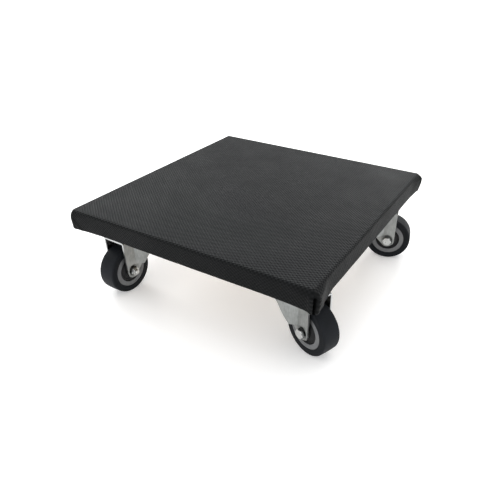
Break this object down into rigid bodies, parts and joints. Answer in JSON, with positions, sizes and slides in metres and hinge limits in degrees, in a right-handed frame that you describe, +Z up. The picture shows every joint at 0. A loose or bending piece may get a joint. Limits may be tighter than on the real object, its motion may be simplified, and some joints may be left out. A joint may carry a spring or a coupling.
{
  "type": "furniture dolly",
  "caption": "Low square furniture dolly: a flat deck wrapped in a dark anti-slip cover, on a swivel caster at each corner with a pressed steel fork and a soft-tyred wheel.",
  "frame": {"origin": "on the floor under the centre of the square deck", "axes": "+Z up, +X and +Y along the deck's sides; the corner nearest in the picture is at +X -Y"},
  "size_m": [0.4332, 0.4091, 0.1375],
  "materials": {
    "board_wood": "matte",
    "cover_rubber": "matte",
    "staple_steel": "satin",
    "zinc": "satin",
    "bolt_steel": "satin",
    "bearing_steel": "polished",
    "hub_plastic": "matte",
    "tyre_rubber": "matte",
    "cap_plastic": "matte"
  },
  "bodies": {
    "deck": {"deck_board": "board_wood", "anti_slip_cover": "cover_rubber", "cover_staples": "staple_steel", "plate_screws": "bolt_steel", "screw_washers": "zinc", "front_left_mount_plate": "zinc", "front_left_kingpin": "zinc", "front_left_upper_balls": "bearing_steel", "front_left_lower_balls": "bearing_steel", "front_left_lower_race_cup": "zinc", "front_right_mount_plate": "zinc", "front_right_kingpin": "zinc", "front_right_upper_balls": "bearing_steel", "front_right_lower_balls": "bearing_steel", "front_right_lower_race_cup": "zinc", "rear_right_mount_plate": "zinc", "rear_right_kingpin": "zinc", "rear_right_upper_balls": "bearing_steel", "rear_right_lower_balls": "bearing_steel", "rear_right_lower_race_cup": "zinc", "rear_left_mount_plate": "zinc", "rear_left_kingpin": "zinc", "rear_left_upper_balls": "bearing_steel", "rear_left_lower_balls": "bearing_steel", "rear_left_lower_race_cup": "zinc"},
    "front_left_swivel_body": {"front_left_fork": "zinc", "front_left_axle_bolt": "bolt_steel", "front_left_axle_nut": "bolt_steel", "front_left_axle_stack": "bearing_steel"},
    "front_left_wheel_body": {"front_left_wheel_hub": "hub_plastic", "front_left_wheel_tyre": "tyre_rubber", "front_left_wheel_bearings": "bearing_steel", "front_left_dust_caps": "cap_plastic"},
    "front_right_swivel_body": {"front_right_fork": "zinc", "front_right_axle_bolt": "bolt_steel", "front_right_axle_nut": "bolt_steel", "front_right_axle_stack": "bearing_steel"},
    "front_right_wheel_body": {"front_right_wheel_hub": "hub_plastic", "front_right_wheel_tyre": "tyre_rubber", "front_right_wheel_bearings": "bearing_steel", "front_right_dust_caps": "cap_plastic"},
    "rear_right_swivel_body": {"rear_right_fork": "zinc", "rear_right_axle_bolt": "bolt_steel", "rear_right_axle_nut": "bolt_steel", "rear_right_axle_stack": "bearing_steel"},
    "rear_right_wheel_body": {"rear_right_wheel_hub": "hub_plastic", "rear_right_wheel_tyre": "tyre_rubber", "rear_right_wheel_bearings": "bearing_steel", "rear_right_dust_caps": "cap_plastic"},
    "rear_left_swivel_body": {"rear_left_fork": "zinc", "rear_left_axle_bolt": "bolt_steel", "rear_left_axle_nut": "bolt_steel", "rear_left_axle_stack": "bearing_steel"},
    "rear_left_wheel_body": {"rear_left_wheel_hub": "hub_plastic", "rear_left_wheel_tyre": "tyre_rubber", "rear_left_wheel_bearings": "bearing_steel", "rear_left_dust_caps": "cap_plastic"}
  },
  "joints": [
    {"name": "front_left_swivel", "type": "hinge", "parent": "deck", "child": "front_left_swivel_body", "pos_m": [-0.144, -0.134, 0.09], "axis": [0, 0, 1], "continuous": true},
    {"name": "front_left_wheel_spin", "type": "hinge", "parent": "front_left_swivel_body", "child": "front_left_wheel_body", "pos_m": [-0.1449, -0.16849, 0.0375], "axis": [0.9997, -0.0262, 0], "continuous": true},
    {"name": "front_right_swivel", "type": "hinge", "parent": "deck", "child": "front_right_swivel_body", "pos_m": [0.144, -0.134, 0.09], "axis": [0, 0, 1], "continuous": true},
    {"name": "front_right_wheel_spin", "type": "hinge", "parent": "front_right_swivel_body", "child": "front_right_wheel_body", "pos_m": [0.17621, -0.14636, 0.0375], "axis": [0.3584, 0.9336, 0], "continuous": true},
    {"name": "rear_right_swivel", "type": "hinge", "parent": "deck", "child": "rear_right_swivel_body", "pos_m": [0.144, 0.134, 0.09], "axis": [0, 0, 1], "continuous": true},
    {"name": "rear_right_wheel_spin", "type": "hinge", "parent": "rear_right_swivel_body", "child": "rear_right_wheel_body", "pos_m": [0.17748, 0.14235, 0.0375], "axis": [-0.2419, 0.9703, 0], "continuous": true},
    {"name": "rear_left_swivel", "type": "hinge", "parent": "deck", "child": "rear_left_swivel_body", "pos_m": [-0.144, 0.134, 0.09], "axis": [0, 0, 1], "continuous": true},
    {"name": "rear_left_wheel_spin", "type": "hinge", "parent": "rear_left_swivel_body", "child": "rear_left_wheel_body", "pos_m": [-0.17816, 0.1388, 0.0375], "axis": [-0.1392, -0.9903, 0], "continuous": true}
  ]
}
